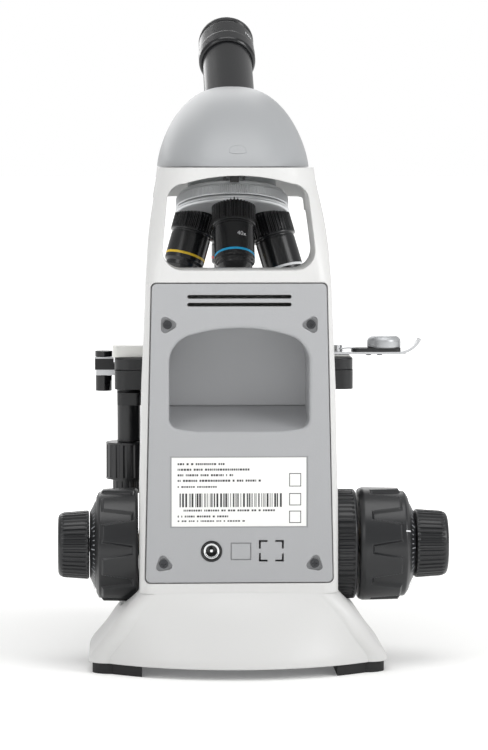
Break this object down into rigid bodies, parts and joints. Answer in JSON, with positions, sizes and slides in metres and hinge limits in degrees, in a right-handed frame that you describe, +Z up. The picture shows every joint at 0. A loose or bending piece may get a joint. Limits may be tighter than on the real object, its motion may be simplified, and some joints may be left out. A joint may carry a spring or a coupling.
{
  "type": "monocular laboratory microscope",
  "caption": "White upright microscope with one inclined eyepiece, rotating nosepiece, mechanical stage, condenser, coaxial focus knobs and a lamp in the base.",
  "frame": {"origin": "centre of the bounding box footprint, on the table under the rubber feet", "axes": "+Z up, +Y towards the flat back of the column, -Y towards the user, +X to the user's right"},
  "size_m": [0.2145, 0.2381, 0.362],
  "materials": {
    "white_paint": "white powder paint on a die casting",
    "gray_plastic": "fine grain",
    "dome_gray": "satin gray lacquer",
    "black_plastic": "satin",
    "black_metal": "black paint",
    "rubber": "matte",
    "steel": "satin",
    "aluminium": "brushed",
    "brass": "satin",
    "glass": "polished",
    "blue_glass": "polished",
    "label": "smooth",
    "cream_plastic": "smooth",
    "board": "smooth"
  },
  "bodies": {
    "stand": {"stand_casting": "white_paint", "rear_cover": "gray_plastic", "cover_screws": "steel", "rating_label": "label", "power_jack": "black_plastic", "base_plate": "steel", "base_screws": "steel", "rubber_feet": "rubber", "circuit_board": "board", "heat_sink": "aluminium", "led_module": "aluminium", "collector_cell": "black_metal", "collector_lens": "glass", "shaft_bushings": "brass", "focus_rail": "steel", "nosepiece_mount": "dome_gray", "detent_spring": "black_metal"},
    "head": {"head_shell": "dome_gray", "head_cap": "gray_plastic", "head_ring": "aluminium", "roof_prism": "glass", "eyepiece_tube": "black_metal"},
    "eyepiece": {"eyepiece_barrel": "black_plastic", "eyepiece_lenses": "glass"},
    "head_clamp": {"head_clamp_screw": "steel"},
    "nosepiece": {"nosepiece_disc": "aluminium", "nosepiece_grip": "aluminium", "objective_4x": "black_metal", "objective_10x": "black_metal", "objective_40x": "black_metal", "objective_100x": "black_metal", "objective_lenses": "glass"},
    "coarse_focus": {"coarse_knobs": "black_plastic", "coarse_shaft": "steel"},
    "fine_focus": {"fine_knobs": "black_plastic", "fine_shaft": "steel"},
    "drag_ring": {"torque_ring": "black_plastic"},
    "focus_carriage": {"focus_block": "black_metal", "focus_rack": "brass"},
    "stage_carrier": {"stage_bracket": "black_metal", "lower_stage_plate": "black_metal", "lock_bracket": "black_metal", "lock_plate": "steel"},
    "stage_top": {"upper_stage_plate": "black_metal", "drive_housing": "black_plastic"},
    "slide_holder": {"x_carriage": "cream_plastic"},
    "clip": {"slide_finger": "steel", "clip_plate": "black_metal", "clip_disc": "aluminium"},
    "y_drive": {"stage_y_knob": "black_plastic"},
    "x_drive": {"stage_x_knob": "black_plastic"},
    "travel_lock": {"lock_screw": "black_plastic"},
    "condenser": {"condenser_mount": "black_metal", "condenser_body": "black_metal", "condenser_lens": "glass"},
    "iris": {"iris_lever": "black_metal"},
    "filter": {"filter_holder": "black_metal", "filter_glass": "blue_glass"},
    "condenser_drive": {"condenser_knob": "black_plastic"},
    "lamp_dial": {"brightness_dial": "black_plastic"}
  },
  "joints": [
    {"name": "head_turn", "type": "hinge", "parent": "stand", "child": "head", "pos_m": [0.0092, -0.026, 0.2733], "axis": [0, 0, 1], "continuous": true},
    {"name": "eyepiece_turn", "type": "hinge", "parent": "head", "child": "eyepiece", "pos_m": [0.0092, -0.08602, 0.33365], "axis": [0, -0.866, 0.5], "continuous": true},
    {"name": "head_clamp_turn", "type": "hinge", "parent": "stand", "child": "head_clamp", "pos_m": [0.0092, -0.072, 0.267], "axis": [0, -1, 0], "range_deg": [0, 180]},
    {"name": "nosepiece_turn", "type": "hinge", "parent": "stand", "child": "nosepiece", "pos_m": [0.0092, -0.00687, 0.2463], "axis": [0, 0.2672, -0.9636], "continuous": true},
    {"name": "stage_focus", "type": "slide", "parent": "stand", "child": "focus_carriage", "axis": [0, 0, 1], "range_m": [0, 0.024]},
    {"name": "coarse_turn", "type": "hinge", "parent": "stand", "child": "coarse_focus", "pos_m": [0.0092, 0.053, 0.0657], "axis": [1, 0, 0], "range_deg": [-230, 0]},
    {"name": "fine_slide", "type": "slide", "parent": "focus_carriage", "child": "stage_carrier", "axis": [0, 0, 1], "range_m": [-0.0005, 0.0005]},
    {"name": "fine_turn", "type": "hinge", "parent": "stand", "child": "fine_focus", "pos_m": [0.0092, 0.053, 0.0657], "axis": [1, 0, 0], "range_deg": [-905, 905]},
    {"name": "drag_ring_turn", "type": "hinge", "parent": "stand", "child": "drag_ring", "pos_m": [-0.0508, 0.053, 0.0657], "axis": [1, 0, 0], "range_deg": [-60, 60]},
    {"name": "stage_y", "type": "slide", "parent": "stage_carrier", "child": "stage_top", "axis": [0, 1, 0], "range_m": [-0.015, 0.015]},
    {"name": "stage_y_turn", "type": "hinge", "parent": "stage_top", "child": "y_drive", "pos_m": [0.0679, -0.022, 0.105], "axis": [0, 0, 1], "range_deg": [-157, 157]},
    {"name": "stage_x", "type": "slide", "parent": "stage_top", "child": "slide_holder", "axis": [1, 0, 0], "range_m": [-0.035, 0.035]},
    {"name": "stage_x_turn", "type": "hinge", "parent": "stage_top", "child": "x_drive", "pos_m": [0.0679, -0.022, 0.091], "axis": [0, 0, 1], "range_deg": [-287, 287]},
    {"name": "clip_open", "type": "hinge", "parent": "slide_holder", "child": "clip", "pos_m": [-0.0493, 0.012, 0.169], "axis": [0, 0, -1], "range_deg": [0, 25], "stiffness_Nm_per_rad": 0.15, "springref_deg": -8.59},
    {"name": "travel_lock_turn", "type": "hinge", "parent": "stage_carrier", "child": "travel_lock", "pos_m": [0.0823, -0.054, 0.15], "axis": [0, 0, 1], "range_deg": [0, 270]},
    {"name": "condenser_lift", "type": "slide", "parent": "stage_carrier", "child": "condenser", "axis": [0, 0, 1], "range_m": [-0.02, 0]},
    {"name": "condenser_turn", "type": "hinge", "parent": "stage_carrier", "child": "condenser_drive", "pos_m": [-0.0308, 0.0125, 0.118], "axis": [1, 0, 0], "range_deg": [-230, 0]},
    {"name": "iris_turn", "type": "hinge", "parent": "condenser", "child": "iris", "pos_m": [0.0092, -0.026, 0.1275], "axis": [0, 0, 1], "range_deg": [-35, 35]},
    {"name": "filter_swing", "type": "hinge", "parent": "condenser", "child": "filter", "pos_m": [-0.0163, -0.026, 0.1055], "axis": [0, 0, 1], "range_deg": [-80, 0]},
    {"name": "lamp_dial_turn", "type": "hinge", "parent": "stand", "child": "lamp_dial", "pos_m": [0.0692, -0.002, 0.0385], "axis": [1, 0, 0], "range_deg": [0, 270]}
  ],
  "couplings": [
    {"joint": "coarse_turn", "follows": "stage_focus", "rad_per_m": -166.67},
    {"joint": "fine_turn", "follows": "fine_slide", "rad_per_m": 31416},
    {"joint": "stage_y_turn", "follows": "stage_y", "rad_per_m": 181.82},
    {"joint": "stage_x_turn", "follows": "stage_x", "rad_per_m": 142.86},
    {"joint": "condenser_turn", "follows": "condenser_lift", "rad_per_m": 200}
  ]
}
